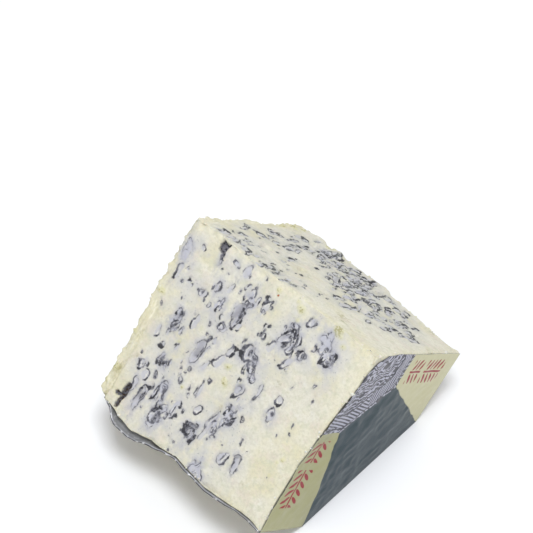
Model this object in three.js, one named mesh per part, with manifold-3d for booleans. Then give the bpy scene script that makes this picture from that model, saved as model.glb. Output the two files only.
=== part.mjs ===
// A wedge of blue cheese in its foil: a quarter of an eight-sided drum, cut from the middle.
// Millimetres, +Z up. The wedge lies on one flat rim side of the drum. Its ridge is the
// drum's axis: it runs along X, with the labelled end at +X and the bare end at -X, and
// the two cut faces slope down from it at 45 degrees, one towards -Y and one towards +Y.

import * as THREE from "three";
import { ImprovedNoise } from "three/addons/math/ImprovedNoise.js";
import { mergeVertices } from "three/addons/utils/BufferGeometryUtils.js";
import Module from "manifold-3d";

// The drum
const APOTHEM = 85; // from the drum's axis to each of its eight rim sides
const DRUM_HEIGHT = 93.5; // the wedge's length along its ridge
const HALF_LENGTH = DRUM_HEIGHT / 2;

// The foil, a laminated sheet, and the room that it leaves
const FOIL_THICKNESS = 0.4;
const FOIL_GAP = 0.3;
const NEAR_PROUD = 0.4; // how far its cut edge stands past the near face
const FAR_PROUD = -2.2; // it stops short of the far face
const END_PROUD = -1.0; // and on the labelled end short of both
const PROUD_WAVE = 0.3;
const PROUD_PITCH = 5.5;
const FOIL_TIP = 5; // how far short of the ridge its corner stops on the labelled end
const FOIL_TIP_ROUND = 0.5;
const TIP_TAPER = 0.25; // the share of the labelled end over which its edges part there
const BARE_END_SHORT = 0.4; // how far short of the bare end it stops
const FOIL_CORNER = 4; // and what it is cut back by at that end's near corner
const FOIL_CORNER_WIDTH = 9;
const FOIL_CREASE = 0.6; // the most that a crease stands out
const CREASE_PITCH = 11;
const CREASE_SHARE = 0.1;
const CREASED_HEIGHT = 25; // creases fade towards the base and the shoulder of a rim side
const CHEESE_INSET = FOIL_THICKNESS + FOIL_GAP;

// The near face's lower edge, which wanders: x, then how far out it lies past the rim side
const NEAR_EDGE = [
  [-46.8, -5.0],
  [-44.5, -3.0],
  [-42.0, -1.3],
  [-39.0, -0.5],
  [-35.0, 0.2],
  [-31.8, 1.6],
  [-24.0, 2.7],
  [-20.0, 1.9],
  [-14.4, 0.3],
  [-9.9, 0.4],
  [-1.3, -1.0],
  [8.0, 0.3],
  [16.8, 1.1],
  [31.9, -0.6],
  [39.4, -1.0],
  [46.8, 0],
];
const NEAR_EDGE_WIDTH = 9;

// The flap of foil that hangs out there: x, then how much further out than the cheese
const FLAP = [
  [-37.5, 0],
  [-34.5, 2.6],
  [-30.0, 2.6],
  [-22.0, 2.2],
  [-13.5, 1.2],
  [-8.0, 0],
];
const FLAP_WIDTH = 9;

// The cheese's edges and relief
const EDGE_BEVEL = 0.9;
const BARE_END_BEVEL = 2.2; // the worn, crumbly edge round the bare end
const EDGE_WIDTH = 6; // the strip beside an edge that crumbles
const CRUMBLE_DEPTH = 1.5;
const CRUMBLE_PITCH = 4.3;
const CRUMBLE_SHARE = 0.25;
const SWELL = 0.5; // the slow unevenness of a face that was cut by hand
const SWELL_PITCH = 23;
const GRAIN = 0.3;
const GRAIN_PITCH = 6.1;
const HIDDEN_RELIEF = 0.15; // the share of the relief that goes on under the foil

// Single dents and lumps: x along the ridge, and down, the distance down a cut face from
// the ridge, place each one, and height is how far it stands out there.
const NEAR_FACE_DENTS = [
  { x: -41, down: 80, radius: 4, height: 0.9 },
  { x: -47, down: 0, radius: 4.5, height: -1.4 },
  { x: 47, down: 0, radius: 5, height: -1.2 },
];
const FAR_FACE_DENTS = [
  { x: -47, down: 0, radius: 4.5, height: -1.2 },
  { x: 47, down: 0, radius: 5, height: -1.0 },
  { x: -47, down: 85, radius: 6, height: -2 },
  { x: -21, down: 81, radius: 3.8, height: 1.9 },
  { x: -33, down: 82, radius: 3.2, height: 1.0 },
  { x: 4, down: 82, radius: 3.4, height: 0.9 },
];

// How finely the solids are faceted
const CUT_FACE_STEPS = 28;
const RIM_HALF_STEPS = 5;
const BASE_STEPS = 7;
const LENGTH_STEPS = 31;
const END_RINGS = 6;
const FOIL_RIM_HALF_STEPS = 6;
const FOIL_BASE_STEPS = 10;
const FOIL_END_ROWS = 9;
const FOIL_LENGTH_ROWS = 30;
const MERGE = 1e-4;

// Holes that the mould left open: x along the ridge, and down, the distance down the face
// from the ridge, place each one; length runs down the face and width along the ridge.
const NEAR_FACE_HOLES = [
  { x: -31, down: 2.5, length: 6, width: 4, depth: 4 },
  { x: -35.4, down: 76, length: 10, width: 2.8, depth: 3.2 },
  { x: -35, down: 82.2, length: 6, width: 1.8, depth: 1.8 },
  { x: -31.7, down: 40, length: 9, width: 3, depth: 1.6 },
  { x: -17.3, down: 42.5, length: 10, width: 2.6, depth: 1.6 },
  { x: -11, down: 22, length: 11, width: 3, depth: 2 },
  { x: 13, down: 16, length: 9, width: 6, depth: 1.4 },
  { x: 1, down: 31, length: 8, width: 4.5, depth: 1.2 },
  { x: -28.7, down: 73, length: 9, width: 3, depth: 1.5 },
  { x: -18.7, down: 74, length: 7, width: 4.5, depth: 1.5 },
  { x: -2.2, down: 71, length: 7, width: 4, depth: 1.5 },
  { x: 3.3, down: 61, length: 14, width: 2.2, depth: 1.2 },
  { x: 21.3, down: 69, length: 8, width: 3, depth: 1.2 },
  { x: 20.5, down: 19, length: 7, width: 2.8, depth: 1.2 },
  { x: 5.5, down: 46, length: 6, width: 3, depth: 1.2 },
];
const FAR_FACE_HOLES = [
  { x: -21.7, down: 60, length: 8, width: 4, depth: 1.6 },
  { x: 17.2, down: 39, length: 8, width: 5, depth: 1.6 },
  { x: -3.7, down: 51, length: 9, width: 3, depth: 1.4 },
  { x: -26.7, down: 25, length: 6, width: 4.5, depth: 1.4 },
  { x: -10.5, down: 30, length: 6, width: 3, depth: 1.2 },
  { x: 12.2, down: 53, length: 7, width: 3.5, depth: 1.4 },
  { x: 7, down: 73, length: 8, width: 4, depth: 1.6 },
  { x: 34.2, down: 63, length: 5, width: 3, depth: 1.2 },
  { x: -29.2, down: 71, length: 8, width: 5, depth: 1.6 },
  { x: 27, down: 35, length: 7, width: 3, depth: 1.2 },
];
const HOLE_DETAIL = 1; // how often the faces of an icosahedron are split
const HOLE_ROUGHNESS = 0.28;
const HOLE_PITCH = 1.7;

const NEAR = -1;
const BASE = 0;
const FAR = 1;
const DIAGONAL = Math.SQRT1_2;
const DOWN_NEAR_FACE = new THREE.Vector3(0, -DIAGONAL, -DIAGONAL);

const CHEESE_CREAM = new THREE.MeshStandardMaterial({
  color: 0xe0ddc8,
  roughness: 0.62,
  metalness: 0,
});
const FOIL_PRINTED = new THREE.MeshStandardMaterial({
  color: 0xb9bd8e,
  roughness: 0.38,
  metalness: 0.75,
});

const perlin = new ImprovedNoise();
const NOISE_START = new THREE.Vector3(0.37, 0.53, 0.71);

function noise(point, pitch) {
  const place = point.clone().divideScalar(pitch).add(NOISE_START);
  return perlin.noise(place.x, place.y, place.z);
}

// Falls from 1 at no distance to 0 at the given width.
function fade(distance, width) {
  return THREE.MathUtils.clamp(1 - distance / width, 0, 1);
}

// The value at x of a list of [x, value] pairs, straight between them and 0 outside them.
function valueAt(pairs, x) {
  for (let i = 1; i < pairs.length; i++) {
    const [x0, value0] = pairs[i - 1];
    const [x1, value1] = pairs[i];
    if (x >= x0 && x <= x1) return THREE.MathUtils.mapLinear(x, x0, x1, value0, value1);
  }
  return 0;
}

// The corners of the section across the ridge, as [y, z], with the rim sides moved in.
function sectionCorners(inset) {
  const reach = APOTHEM - inset;
  const shoulder = reach * DIAGONAL;
  const foot = reach * Math.tan(Math.PI / 8);
  return {
    ridge: [0, APOTHEM],
    farShoulder: [shoulder, APOTHEM - shoulder],
    farFoot: [foot, inset],
    nearFoot: [-foot, inset],
    nearShoulder: [-shoulder, APOTHEM - shoulder],
  };
}

// One side of the section as points with its outward normal, short of both corners. Down
// is the distance from the ridge, and a side that the foil leaves bare has its own dents.
function sidePoints([from, to], steps, dents = null) {
  const along = new THREE.Vector2(to[0] - from[0], to[1] - from[1]);
  const length = along.length();
  along.normalize();
  const points = [];
  for (let i = 0; i <= steps; i++) {
    const distance = EDGE_BEVEL + ((length - 2 * EDGE_BEVEL) * i) / steps;
    points.push({
      y: from[0] + along.x * distance,
      z: from[1] + along.y * distance,
      normal: new THREE.Vector3(0, along.y, -along.x),
      fromEdge: Math.min(distance, length - distance),
      down: Math.hypot(from[0] + along.x * distance, from[1] + along.y * distance - APOTHEM),
      fromNearEdge: 0,
      dents,
    });
  }
  return points;
}

// The whole section of the cheese, from the ridge down the near face and round.
function cheeseSection() {
  const c = sectionCorners(CHEESE_INSET);
  const spots = [
    ...sidePoints([c.ridge, c.nearShoulder], CUT_FACE_STEPS, NEAR_FACE_DENTS),
    ...sidePoints([c.nearShoulder, c.nearFoot], RIM_HALF_STEPS),
    ...sidePoints([c.nearFoot, c.farFoot], BASE_STEPS),
    ...sidePoints([c.farFoot, c.farShoulder], RIM_HALF_STEPS),
    ...sidePoints([c.farShoulder, c.ridge], CUT_FACE_STEPS, FAR_FACE_DENTS),
  ];
  const [edgeY, edgeZ] = c.nearShoulder;
  for (const spot of spots) spot.fromNearEdge = Math.hypot(spot.y - edgeY, spot.z - edgeZ);
  return spots;
}

// The sections that the skin runs through, from the middle of the labelled end to the
// middle of the bare end. Each has its place on X and its scale about the section's middle.
function cheeseRings() {
  const labelled = HALF_LENGTH - CHEESE_INSET;
  const middle = APOTHEM / 2;
  const rings = [
    { x: labelled, scale: 0, end: 1 },
    { x: labelled, scale: 1 - EDGE_BEVEL / middle, end: 1 },
  ];
  const first = labelled - EDGE_BEVEL;
  const last = -HALF_LENGTH + BARE_END_BEVEL;
  for (let i = 0; i <= LENGTH_STEPS; i++) {
    rings.push({ x: first + ((last - first) * i) / LENGTH_STEPS, scale: 1, end: 0 });
  }
  const outermost = 1 - BARE_END_BEVEL / middle;
  for (let i = END_RINGS; i >= 0; i--) {
    rings.push({ x: -HALF_LENGTH, scale: (outermost * i) / END_RINGS, end: -1 });
  }
  return rings;
}

// How far the cheese's skin moves out along its normal at one point.
function relief(point, spot, ring) {
  const grain = GRAIN * noise(point, GRAIN_PITCH);
  const swell = SWELL * noise(point, SWELL_PITCH);
  const onCutFace = spot.dents !== null && ring.end === 0;
  if (ring.end !== -1 && !onCutFace) return Math.min(0, HIDDEN_RELIEF * (grain + swell));
  const fromEnd = HALF_LENGTH - Math.abs(point.x);
  const fromEdge = onCutFace ? Math.min(spot.fromEdge, fromEnd) : (1 - ring.scale) * APOTHEM;
  const loose = Math.max(0, noise(point, CRUMBLE_PITCH) + CRUMBLE_SHARE);
  let out = grain + swell - CRUMBLE_DEPTH * loose * fade(fromEdge, EDGE_WIDTH);
  for (const dent of onCutFace ? spot.dents : []) {
    const away = Math.hypot(point.x - dent.x, spot.down - dent.down) / dent.radius;
    out += dent.height * Math.exp(-away * away);
  }
  return out;
}

function ringPoint(spot, ring) {
  const middle = APOTHEM / 2;
  const point = new THREE.Vector3(
    ring.x,
    spot.y * ring.scale,
    middle + (spot.z - middle) * ring.scale,
  );
  if (ring.scale === 0) return point;
  const normal = ring.end === 0 ? spot.normal : new THREE.Vector3(ring.end, 0, 0);
  const out = relief(point, spot, ring);
  const wander = valueAt(NEAR_EDGE, ring.x) * fade(spot.fromNearEdge, NEAR_EDGE_WIDTH);
  return point.addScaledVector(normal, out).addScaledVector(DOWN_NEAR_FACE, wander * ring.scale);
}

// The triangles between the rows of a grid. A closed one joins its last column to its first.
function gridFaces(rows, columns, closed, offset = 0) {
  const faces = [];
  for (let r = 0; r < rows - 1; r++) {
    for (let c = 0; c < (closed ? columns : columns - 1); c++) {
      const next = (c + 1) % columns;
      const a = offset + r * columns + c;
      const b = offset + r * columns + next;
      const d = offset + (r + 1) * columns + c;
      const e = offset + (r + 1) * columns + next;
      faces.push([a, e, b], [a, d, e]);
    }
  }
  return faces;
}

// A closed surface, with points that coincide made one and collapsed triangles dropped.
function closedGeometry(points, faces) {
  const loose = new THREE.BufferGeometry();
  const numbers = points.flatMap((p) => [p.x, p.y, p.z]);
  loose.setAttribute("position", new THREE.Float32BufferAttribute(numbers, 3));
  loose.setIndex(faces.flat());
  const geometry = mergeVertices(loose, MERGE);
  const corners = [...geometry.index.array];
  const kept = [];
  for (let i = 0; i < corners.length; i += 3) {
    const [a, b, c] = corners.slice(i, i + 3);
    if (a !== b && b !== c && c !== a) kept.push(a, b, c);
  }
  geometry.setIndex(kept);
  return geometry;
}

function cheeseSkin() {
  const section = cheeseSection();
  const rings = cheeseRings();
  const points = rings.flatMap((ring) => section.map((spot) => ringPoint(spot, ring)));
  return closedGeometry(points, gridFaces(rings.length, section.length, true));
}

// A rough-walled hollow that opens on a cut face.
function holeGeometry(hole, face) {
  const geometry = new THREE.IcosahedronGeometry(1, HOLE_DETAIL);
  geometry.deleteAttribute("normal");
  geometry.deleteAttribute("uv");
  const position = geometry.getAttribute("position");
  const point = new THREE.Vector3();
  for (let i = 0; i < position.count; i++) {
    point.fromBufferAttribute(position, i);
    const size = new THREE.Vector3(hole.width / 2, hole.length / 2, hole.depth);
    const place = point.clone().multiply(size).addScalar(hole.x + hole.down);
    point.multiplyScalar(1 + HOLE_ROUGHNESS * noise(place, HOLE_PITCH)).multiply(size);
    position.setXYZ(i, point.x, point.y, point.z);
  }
  const alongRidge = new THREE.Vector3(1, 0, 0);
  const downFace = new THREE.Vector3(0, face * DIAGONAL, -DIAGONAL);
  const outOfFace = new THREE.Vector3().crossVectors(alongRidge, downFace);
  const turn = new THREE.Matrix4().makeBasis(alongRidge, downFace, outOfFace);
  turn.setPosition(hole.x, face * DIAGONAL * hole.down, APOTHEM - DIAGONAL * hole.down);
  geometry.applyMatrix4(turn);
  return mergeVertices(geometry, MERGE);
}

const wasm = await Module();
wasm.setup();

function solidFrom(geometry) {
  return new wasm.Manifold(
    new wasm.Mesh({
      numProp: 3,
      vertProperties: new Float32Array(geometry.getAttribute("position").array),
      triVerts: new Uint32Array(geometry.index.array),
    }),
  );
}

function geometryFrom(solid) {
  const mesh = solid.getMesh();
  const geometry = new THREE.BufferGeometry();
  geometry.setAttribute("position", new THREE.BufferAttribute(mesh.vertProperties, 3));
  geometry.setIndex(new THREE.BufferAttribute(mesh.triVerts, 1));
  geometry.computeVertexNormals();
  return geometry;
}

function cheeseGeometry() {
  let solid = solidFrom(cheeseSkin());
  for (const hole of NEAR_FACE_HOLES) solid = solid.subtract(solidFrom(holeGeometry(hole, NEAR)));
  for (const hole of FAR_FACE_HOLES) solid = solid.subtract(solidFrom(holeGeometry(hole, FAR)));
  return geometryFrom(solid);
}

// The foil's columns, from the near shoulder under the base to the far shoulder, each as a
// place between two of the section's corners. The first and last are its cut edges.
function foilColumns() {
  const columns = [];
  const stretches = [
    ["nearShoulder", "nearFoot", FOIL_RIM_HALF_STEPS, NEAR],
    ["nearFoot", "farFoot", FOIL_BASE_STEPS, BASE],
    ["farFoot", "farShoulder", FOIL_RIM_HALF_STEPS, FAR],
  ];
  for (const [from, to, steps, side] of stretches) {
    for (let i = 0; i < steps; i++) columns.push({ from, to, share: i / steps, side, edge: 0 });
  }
  columns[0].edge = NEAR;
  columns.push({ from: "farFoot", to: "farShoulder", share: 1, side: FAR, edge: FAR });
  return columns;
}

// The foil's rows: from its tip out over the labelled end, then along the rim sides.
function foilRows() {
  const rows = [];
  for (let i = 0; i < FOIL_END_ROWS; i++) rows.push({ outwards: i / FOIL_END_ROWS, along: 0 });
  for (let i = 0; i <= FOIL_LENGTH_ROWS; i++) {
    rows.push({ outwards: 1, along: i / FOIL_LENGTH_ROWS });
  }
  return rows;
}

// How far the sheet's cut edge stands past the cut face there.
function foilProud(point, side, row) {
  const wave = PROUD_WAVE * noise(point, PROUD_PITCH);
  if (row.along === 0) return (END_PROUD + wave) * Math.min(1, row.outwards / TIP_TAPER);
  return side === NEAR ? NEAR_PROUD + wave : FAR_PROUD;
}

// Where a column crosses the section. On the near side its start is the near face's lower
// edge, from which its distance is given.
function columnPlace(column, inset) {
  const corners = sectionCorners(inset);
  const from = new THREE.Vector2(...corners[column.from]);
  const place = from.clone().lerp(new THREE.Vector2(...corners[column.to]), column.share);
  return { y: place.x, z: place.y, fromStart: place.distanceTo(from) };
}

// How far a crease stands out. The base stays flat, and creases only stand outwards.
function creaseAt(point, column) {
  if (column.side === BASE || column.share === 0) return 0;
  const crease = FOIL_CREASE * Math.max(0, noise(point, CREASE_PITCH) + CREASE_SHARE);
  return crease * fade(Math.abs(point.z / CREASED_HEIGHT - 0.5), 0.5);
}

// How far out the sheet lies beside the near face's lower edge, to clear the cheese there.
function flareAt(x, fromNearEdge) {
  const cleared = Math.max(0, valueAt(NEAR_EDGE, x)) * fade(fromNearEdge, NEAR_EDGE_WIDTH);
  return cleared + valueAt(FLAP, x) * fade(fromNearEdge, FLAP_WIDTH);
}

// One point of one skin of the sheet.
function foilPoint(column, row, inset) {
  const { y, z, fromStart } = columnPlace(column, inset);
  const drop = APOTHEM - z;
  const tip = (FOIL_TIP * (1 + FOIL_TIP_ROUND * (y / drop) ** 2)) / drop;
  const reach = THREE.MathUtils.lerp(tip, 1, row.outwards);
  const cornerCut = column.side === NEAR ? FOIL_CORNER * fade(fromStart, FOIL_CORNER_WIDTH) : 0;
  const bareEnd = -HALF_LENGTH + BARE_END_SHORT + cornerCut;
  const x = THREE.MathUtils.lerp(HALF_LENGTH - inset, bareEnd, row.along);
  const point = new THREE.Vector3(x, y * reach, APOTHEM - drop * reach);
  if (row.along > 0) {
    const outOfRim = new THREE.Vector3(0, column.side * DIAGONAL, -DIAGONAL);
    point.addScaledVector(outOfRim, creaseAt(point, column));
    if (column.side === NEAR) point.addScaledVector(outOfRim, flareAt(x, fromStart));
  }
  const outOfFace = new THREE.Vector3(0, column.edge * DIAGONAL, Math.abs(column.edge) * DIAGONAL);
  return point.addScaledVector(outOfFace, foilProud(point, column.edge, row));
}

// The strip that closes the sheet between its two skins, along a run of their points.
function rimFaces(run, offset) {
  const faces = [];
  for (let i = 0; i < run.length - 1; i++) {
    const [a, b] = [run[i], run[i + 1]];
    faces.push([a, offset + b, b], [a, offset + a, offset + b]);
  }
  return faces;
}

function foilGeometry() {
  const columns = foilColumns();
  const rows = foilRows();
  const skin = (inset) => rows.flatMap((row) => columns.map((c) => foilPoint(c, row, inset)));
  const points = [...skin(0), ...skin(FOIL_THICKNESS)];
  const [wide, count] = [columns.length, rows.length * columns.length];
  const outer = gridFaces(rows.length, wide, false);
  const inner = gridFaces(rows.length, wide, false, count).map(([a, b, c]) => [a, c, b]);
  const nearEdge = rows.map((_, r) => r * wide);
  const farEdge = rows.map((_, r) => r * wide + wide - 1).reverse();
  const bareEdge = columns.map((_, c) => (rows.length - 1) * wide + c);
  const tipEdge = columns.map((_, c) => c).reverse();
  const rim = [...nearEdge, ...bareEdge.slice(1), ...farEdge.slice(1), ...tipEdge.slice(1)];
  return closedGeometry(points, [...outer, ...inner, ...rimFaces(rim, count)]);
}

function namedMesh(name, geometry, material) {
  const mesh = new THREE.Mesh(geometry, material);
  mesh.name = name;
  return mesh;
}

const wedge = new THREE.Group();
wedge.add(namedMesh("cheese", cheeseGeometry(), CHEESE_CREAM));
wedge.add(namedMesh("foil", foilGeometry(), FOIL_PRINTED));

export default wedge;
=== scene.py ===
import math
from functools import partialmethod

import bpy
import numpy as np
from mathutils import Matrix, Vector


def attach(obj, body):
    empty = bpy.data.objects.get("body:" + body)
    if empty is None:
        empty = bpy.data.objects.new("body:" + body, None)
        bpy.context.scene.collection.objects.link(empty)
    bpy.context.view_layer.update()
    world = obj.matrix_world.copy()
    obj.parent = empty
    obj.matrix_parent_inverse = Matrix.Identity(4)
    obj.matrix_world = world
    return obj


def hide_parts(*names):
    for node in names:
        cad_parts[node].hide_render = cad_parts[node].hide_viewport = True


# A wedge of blue cheese in its foil, a quarter of an eight-sided drum. It lies on one rim
# side. Its ridge is the drum's axis and runs along X, with the labelled end at +X, the
# bare end at -X, the near cut face towards -Y and the far cut face towards +Y.
# Lengths are millimetres, but for the lights' distances and sizes, which are metres.

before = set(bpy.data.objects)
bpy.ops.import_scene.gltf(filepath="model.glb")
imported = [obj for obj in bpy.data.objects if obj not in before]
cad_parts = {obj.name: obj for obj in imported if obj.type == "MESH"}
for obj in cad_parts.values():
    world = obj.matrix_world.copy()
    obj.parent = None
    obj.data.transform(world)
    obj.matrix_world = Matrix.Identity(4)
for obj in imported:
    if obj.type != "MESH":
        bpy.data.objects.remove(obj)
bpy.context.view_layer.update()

MM = 0.001

# The drum and its foil, as in the solids
APOTHEM = 85
DRUM_HEIGHT = 93.5
HALF_LENGTH = DRUM_HEIGHT / 2
MIDDLE = APOTHEM / 2
SECTOR_SLOPE = math.tan(math.pi / 8)
DIAGONAL = math.sqrt(0.5)
CHEESE_INSET = 0.25
EDGE_BEVEL = 0.9
BARE_END_BEVEL = 2.2

NEAR, HIDDEN, FAR = -1, 0, 1
FAR_AWAY = 5.0

rng = np.random.default_rng(11)


# Noise and small helpers

# Large odd numbers that scatter the noise's cells
SCATTER, SEED_FACTOR = np.array((73856093, 19349663, 83492791)), 668265263
STIRS = ((13, 1274126177), (15, 974634777))
KEPT_BITS, VALUE_STEPS = 0x7FFFFFFF, 20011
# What keeps the noises of two seeds and of two octaves apart
NOISE_START, SEED_SHIFT = 1000.5, 7.31
OCTAVE_STEP, OCTAVE_SEED = 2.1, 17


def smooth(share):
    return share * share * (3 - 2 * share)


def lattice(cells, seed):
    """A number from -1 to 1 for each whole cell, the same at every run."""
    mixed = (np.bitwise_xor.reduce(cells * SCATTER, axis=-1) + seed * SEED_FACTOR) & KEPT_BITS
    for shift, factor in STIRS:
        mixed = ((mixed ^ (mixed >> shift)) * factor) & KEPT_BITS
    return (mixed % VALUE_STEPS) / ((VALUE_STEPS - 1) / 2) - 1


def noise(points, pitch, seed=0):
    """Smooth noise from about -1 to 1 at points, with bumps about pitch apart."""
    spread = points / pitch + NOISE_START + SEED_SHIFT * seed
    cells = np.floor(spread).astype(np.int64)
    share = smooth(spread - cells)
    total = np.zeros(points.shape[:-1])
    for corner in np.ndindex(2, 2, 2):
        weight = np.prod(np.where(np.array(corner) == 1, share, 1 - share), axis=-1)
        total += weight * lattice(cells + np.array(corner), seed)
    return total


def rough(points, pitch, seed=0, octaves=3):
    total = np.zeros(points.shape[:-1])
    for octave in range(octaves):
        finer = pitch / OCTAVE_STEP**octave
        total += noise(points, finer, seed + OCTAVE_SEED * octave) * 0.5**octave
    return total


def layered(points, sizes, seed):
    return sum(height * noise(points, pitch, seed + i) for i, (height, pitch) in enumerate(sizes))


def fade(distance, width):
    """Falls smoothly from 1 at no distance, or a negative one, to 0 at the given width."""
    return smooth(np.clip(1 - distance / width, 0, 1))


def value_at(pairs, x):
    places, numbers = zip(*pairs)
    return np.interp(x, places, numbers, left=0, right=0)


def srgb(red, green, blue):
    """A screen colour from 0 to 255 as the linear colour that a shader takes."""
    linear = []
    for value in (red / 255, green / 255, blue / 255):
        linear.append(value / 12.92 if value <= 0.04045 else ((value + 0.055) / 1.055) ** 2.4)
    return (*linear, 1)


def placed(name, data):
    made = bpy.data.objects.new(name, data)
    bpy.context.scene.collection.objects.link(made)
    return made


def mesh_object(name, points, faces, materials, values=None):
    """An object made of points in millimetres, with smooth faces and named point values."""
    mesh = bpy.data.meshes.new(name)
    mesh.from_pydata((points * MM).tolist(), [], faces)
    for value_name, numbers in (values or {}).items():
        attribute = mesh.attributes.new(value_name, "FLOAT", "POINT")
        attribute.data.foreach_set("value", np.ascontiguousarray(numbers, dtype=np.float32))
    for material in materials:
        mesh.materials.append(material)
    mesh.polygons.foreach_set("use_smooth", [True] * len(mesh.polygons))
    mesh.update()
    return placed(name, mesh)


def grid_faces(rows, columns, closed):
    faces = []
    for row in range(rows - 1):
        for column in range(columns if closed else columns - 1):
            after = (column + 1) % columns
            top, bottom = row * columns, (row + 1) * columns
            faces.append((top + column, bottom + column, bottom + after, top + after))
    return faces


# The true prism and what a cut by hand makes of it

# How far out the near face's lower edge wanders, by x
NEAR_EDGE = (
    (-46.8, -5), (-44.5, -3), (-42, -1.3), (-39, -0.5), (-35, 0.2), (-31.8, 1.6),
    (-24, 2.7), (-20, 1.9), (-14.4, 0.3), (-9.9, 0.4), (-1.3, -1), (8, 0.3),
    (16.8, 1.1), (31.9, -0.6), (39.4, -1), (46.8, 0),
)
NEAR_EDGE_WIDTH = 9
DOWN_NEAR_FACE = np.array([0, -DIAGONAL, -DIAGONAL])

# How far the bare end stands out and the labelled end is drawn in, by the depth below the
# ridge, and how far the far face rises at its lower edge, by x
BARE_END_OUT = ((-5, 1.9), (25, 1.8), (34, 0.3), (40, 0))
LABELLED_END_IN = (
    (-5, -1), (10, -0.8), (15, 0), (27, 1.4), (38, 2.6), (48, 2.3), (60, 1.2),
    (85, 0),
)
FAR_FACE_UP = (
    (-51, 2.6), (-30, 2.8), (-8, 2.6), (6, 2.2), (15, 1.4), (22, 0.8), (38, 0),
)
BARE_END_REACH, LABELLED_END_REACH, NEAR_FACE_REACH, FAR_FACE_REACH = 14, 22, 45, 25


def as_cut(points):
    """Points of the true prism, moved to where the wedge cut by hand has them."""
    x, y, below = points[..., 0], points[..., 1], APOTHEM - points[..., 2]
    moved = points.copy()
    moved[..., 0] -= value_at(BARE_END_OUT, below) * fade(x + HALF_LENGTH, BARE_END_REACH)
    from_near_face = (below + y) * DIAGONAL
    drawn_in = fade(HALF_LENGTH - x, LABELLED_END_REACH) * fade(from_near_face, NEAR_FACE_REACH)
    moved[..., 0] -= value_at(LABELLED_END_IN, below) * drawn_in
    from_far_face = (below - y) * DIAGONAL
    share = np.clip(y / (APOTHEM * DIAGONAL), 0, 1) * fade(from_far_face, FAR_FACE_REACH)
    moved[..., 1:] += (value_at(FAR_FACE_UP, x) * share * DIAGONAL)[..., None]
    return moved


def section_corners(inset):
    """The section's corners, as (y, z), from the ridge down the near face and round."""
    reach = APOTHEM - inset
    shoulder = reach * DIAGONAL
    foot = reach * SECTOR_SLOPE
    return [
        (0, APOTHEM),
        (-shoulder, APOTHEM - shoulder),
        (-foot, inset),
        (foot, inset),
        (shoulder, APOTHEM - shoulder),
    ]


FACE_STEP, HIDDEN_STEP, END_RING_STEP = 0.45, 5, 1.2
BEVEL_SHARES = (0.25, 0.5, 0.75)
BARE_BEVEL_SHARES = (0.2, 0.4, 0.6, 0.8, 1)
COVERED_RINGS = (9, 7, 5, 3.5, 2.2)


def rounded_section():
    """The section as points with normals, sides and distances from its corners."""
    corners = [np.array(corner) for corner in section_corners(CHEESE_INSET)]
    sides = (NEAR, HIDDEN, HIDDEN, HIDDEN, FAR)
    steps = [after - corner for corner, after in zip(corners, corners[1:] + corners[:1])]
    alongs = [step / np.linalg.norm(step) for step in steps]
    spots = []
    for i, side in enumerate(sides):
        following = (i + 1) % len(sides)
        start, end = corners[i], corners[following]
        length = np.linalg.norm(end - start)
        step = HIDDEN_STEP if side == HIDDEN else FACE_STEP
        normal = np.array([alongs[i][1], -alongs[i][0]])
        stops = int((length - 2 * EDGE_BEVEL) / step) + 1
        for distance in np.linspace(EDGE_BEVEL, length - EDGE_BEVEL, stops):
            place = start + alongs[i] * distance
            spots.append((place, normal, side, min(distance, length - distance)))
        ahead = alongs[following]
        ahead_normal = np.array([ahead[1], -ahead[0]])
        before, after = end - alongs[i] * EDGE_BEVEL, end + ahead * EDGE_BEVEL
        for share in BEVEL_SHARES:
            place = before * (1 - share) ** 2 + end * 2 * share * (1 - share) + after * share**2
            turned = normal * (1 - share) + ahead_normal * share
            turned = turned / np.linalg.norm(turned)
            spots.append((place, turned, side if share < 0.5 else sides[following], 0))
    return [np.array(column) for column in zip(*spots)]


def bevel(share):
    angle = share * math.pi / 2
    return math.sin(angle), 1 - math.cos(angle)


def skin_rings():
    """X, scale and tilt of each ring. The tilt turns from the section's normal to the end's."""
    labelled = HALF_LENGTH - CHEESE_INSET
    rings = [(labelled, 1 - depth / MIDDLE, 1) for depth in COVERED_RINGS]
    first, last = labelled - EDGE_BEVEL, -HALF_LENGTH + BARE_END_BEVEL
    for share in (0, *BEVEL_SHARES):
        across, round_it = bevel(1 - share)
        rings.append((first + EDGE_BEVEL * across, 1 - EDGE_BEVEL * round_it / MIDDLE, 1 - share))
    for x in np.linspace(first, last, int((first - last) / FACE_STEP) + 1):
        rings.append((x, 1, 0))
    for share in BARE_BEVEL_SHARES:
        across, round_it = bevel(share)
        x = last - BARE_END_BEVEL * across
        rings.append((x, 1 - BARE_END_BEVEL * round_it / MIDDLE, -share))
    outermost = 1 - BARE_END_BEVEL / MIDDLE
    count = int(MIDDLE / END_RING_STEP)
    for i in range(count - 1, 0, -1):
        rings.append((-HALF_LENGTH, outermost * i / count, -1))
    return np.array(rings)


# The veins: each is placed on a face by x along the ridge and by the distance down the face
# from the ridge. Its width runs along the ridge and its length down the face.

# The height and pitch of the noises that bend the veins and give them lobes
BENT_ALONG, BENT_DOWN = ((0.6, 2.6), (0.25, 1.2)), ((1.1, 3.4), (0.4, 1.5))
LOBES, LOBED_WIDTH = ((0.8, 1.8), (0.25, 0.8)), 2.8
BEND_STRETCH = 0.7
NARROWEST, WIDEST = 0.45, 1.6
LINE_WIDTHS, LINE_SWELL = (0.16, 0.33), 0.75
GAP_LEVEL, GAP_CUT = 0.4, 1.7
CORE_ASIDE = 0.12
HALO_REACH, HALO_WIDENING = 1.2, 0.2
SMOKE_REACH, SMOKE_SHARE = 4.5, 0.35
CLUMP_AREA, CLUMP_LEAST, CLUMP_REACH = 5, 3, 0.42
CLUMP_WIDTHS, CLUMP_LENGTHS = (1.2, 2.6), (2.2, 6)


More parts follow.
